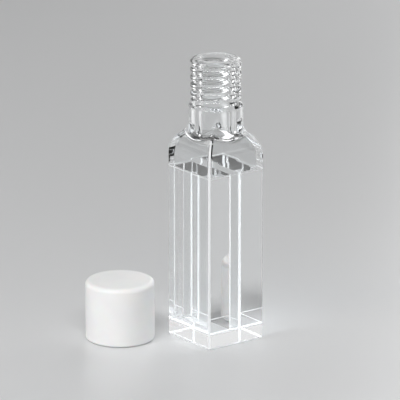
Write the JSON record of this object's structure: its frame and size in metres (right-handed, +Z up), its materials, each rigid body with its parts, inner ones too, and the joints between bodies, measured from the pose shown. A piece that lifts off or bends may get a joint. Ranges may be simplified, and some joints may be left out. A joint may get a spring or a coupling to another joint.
{
  "type": "screw-neck cuvette",
  "caption": "Clear square cuvette with a narrow slot chamber, a hollow shoulder and a round screw neck; its plain white screw cap stands beside it.",
  "frame": {"origin": "centre of the cell's base, on the surface it stands on", "axes": "+Z up along the neck, +Y along the long side of the slot chamber, +X across the slot"},
  "size_m": [0.0273, 0.0223, 0.0529],
  "materials": {
    "quartz": "polished, with fine-ground edges",
    "cap_plastic": "satin",
    "seal": "matt"
  },
  "bodies": {
    "root": {"quartz_cell": "quartz", "screw_cap": "cap_plastic", "sealing_disc": "seal"}
  },
  "joints": []
}
